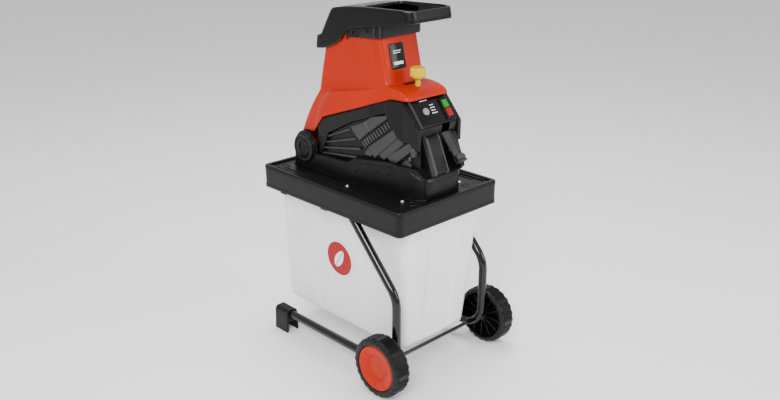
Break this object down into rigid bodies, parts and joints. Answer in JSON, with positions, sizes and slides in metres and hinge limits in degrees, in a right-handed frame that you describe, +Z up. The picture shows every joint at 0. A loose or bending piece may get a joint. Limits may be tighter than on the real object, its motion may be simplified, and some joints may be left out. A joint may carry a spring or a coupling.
{
  "type": "wood chipper",
  "caption": "Electric garden chipper: hinged hopper with feed hood over a blade disc, on a wheeled tube frame with a sliding chip collecting bin.",
  "frame": {"origin": "centre of the footprint on the floor", "axes": "+Z up, -Y towards the operator and the wheels, +X to the operator's right as seen by someone facing the machine from -Y"},
  "size_m": [0.4384, 0.55, 0.903],
  "materials": {
    "black_tube": "gloss black paint on steel tube",
    "black_plastic": "fine grained black moulding",
    "grey_plastic": "fine grained dark grey moulding",
    "panel_black": "smooth black",
    "orange_plastic": "satin orange-red moulding",
    "yellow_plastic": "glossy yellow moulding",
    "bin_plastic": "milky translucent white moulding",
    "badge_red": "printed film with a white edge",
    "wheel_black": "hard black wheel moulding",
    "green_plastic": "glossy green button",
    "red_plastic": "glossy red button",
    "light_grey_plastic": "light grey button",
    "steel": "zinc-plated steel",
    "blade_steel": "ground tool steel",
    "cast_alloy": "die-cast alloy",
    "motor_paint": "dark grey paint",
    "copper_winding": "varnished copper and lamination"
  },
  "bodies": {
    "chassis": {"frame_left": "black_tube", "frame_right": "black_tube", "foot_left": "black_plastic", "foot_right": "black_plastic", "axle": "black_tube", "axle_spacers": "steel", "axle_clips": "steel", "tray": "black_plastic", "frame_clamps": "black_plastic", "clamp_screws": "steel", "bin_rails": "black_plastic", "base_shell_left": "black_plastic", "base_shell_right": "black_plastic", "side_grille_left": "grey_plastic", "side_grille_right": "grey_plastic", "tray_screws": "steel", "hinge_caps": "black_plastic", "hinge_bolts": "steel", "control_panel": "panel_black", "switch_frame": "panel_black", "motor_can": "motor_paint", "motor_stator": "copper_winding", "motor_end_shield": "cast_alloy", "motor_rear_shield": "cast_alloy", "run_capacitor": "panel_black", "shaft_bearings": "steel", "cutting_chamber": "cast_alloy", "discharge_chute": "grey_plastic", "counter_blade": "blade_steel", "interlock_switch": "panel_black", "power_inlet": "panel_black"},
    "hopper": {"hopper_shell": "orange_plastic", "feed_chute": "grey_plastic", "chamber_lid": "cast_alloy", "hood": "black_plastic", "hood_band": "panel_black", "rating_plate": "panel_black", "hood_screws": "steel"},
    "knob": {"lock_knob": "yellow_plastic"},
    "rotor": {"motor_shaft": "steel", "motor_armature": "copper_winding", "cooling_fan": "grey_plastic", "blade_disc": "blade_steel", "cutting_blades": "blade_steel", "blade_screws": "steel"},
    "bin": {"bin": "bin_plastic", "bin_badge": "badge_red"},
    "left_wheel": {"wheel_left": "wheel_black", "hubcap_left": "orange_plastic"},
    "right_wheel": {"wheel_right": "wheel_black", "hubcap_right": "orange_plastic"},
    "bin_lock": {"bin_lock_slider": "grey_plastic"},
    "start": {"start_button": "green_plastic"},
    "stop": {"stop_button": "red_plastic"},
    "reset": {"reset_button": "light_grey_plastic"}
  },
  "joints": [
    {"name": "hopper_tilt", "type": "hinge", "parent": "chassis", "child": "hopper", "pos_m": [0, 0.183, 0.521], "axis": [-1, 0, 0], "range_deg": [0, 60]},
    {"name": "knob_turn", "type": "hinge", "parent": "hopper", "child": "knob", "pos_m": [0, -0.121, 0.745], "axis": [0, 0, 1], "range_deg": [0, 1080]},
    {"name": "rotor_spin", "type": "hinge", "parent": "chassis", "child": "rotor", "pos_m": [0, 0.025, 0.62198], "axis": [0, 0.342, 0.9397], "continuous": true},
    {"name": "bin_slide", "type": "slide", "parent": "chassis", "child": "bin", "axis": [0, -1, 0], "range_m": [0, 0.4]},
    {"name": "left_wheel_spin", "type": "hinge", "parent": "chassis", "child": "left_wheel", "pos_m": [-0.19, -0.199, 0.076], "axis": [1, 0, 0], "continuous": true},
    {"name": "right_wheel_spin", "type": "hinge", "parent": "chassis", "child": "right_wheel", "pos_m": [0.19, -0.199, 0.076], "axis": [1, 0, 0], "continuous": true},
    {"name": "bin_lock_slide", "type": "slide", "parent": "chassis", "child": "bin_lock", "axis": [0, 0.6691, 0.7431], "range_m": [0, 0.024]},
    {"name": "start_press", "type": "slide", "parent": "chassis", "child": "start", "axis": [0, 0.7796, -0.6263], "range_m": [0, 0.003], "stiffness_N_per_m": 400},
    {"name": "stop_press", "type": "slide", "parent": "chassis", "child": "stop", "axis": [0, 0.7796, -0.6263], "range_m": [0, 0.003], "stiffness_N_per_m": 400},
    {"name": "reset_press", "type": "slide", "parent": "chassis", "child": "reset", "axis": [0, 0.7796, -0.6263], "range_m": [0, 0.003], "stiffness_N_per_m": 400}
  ]
}
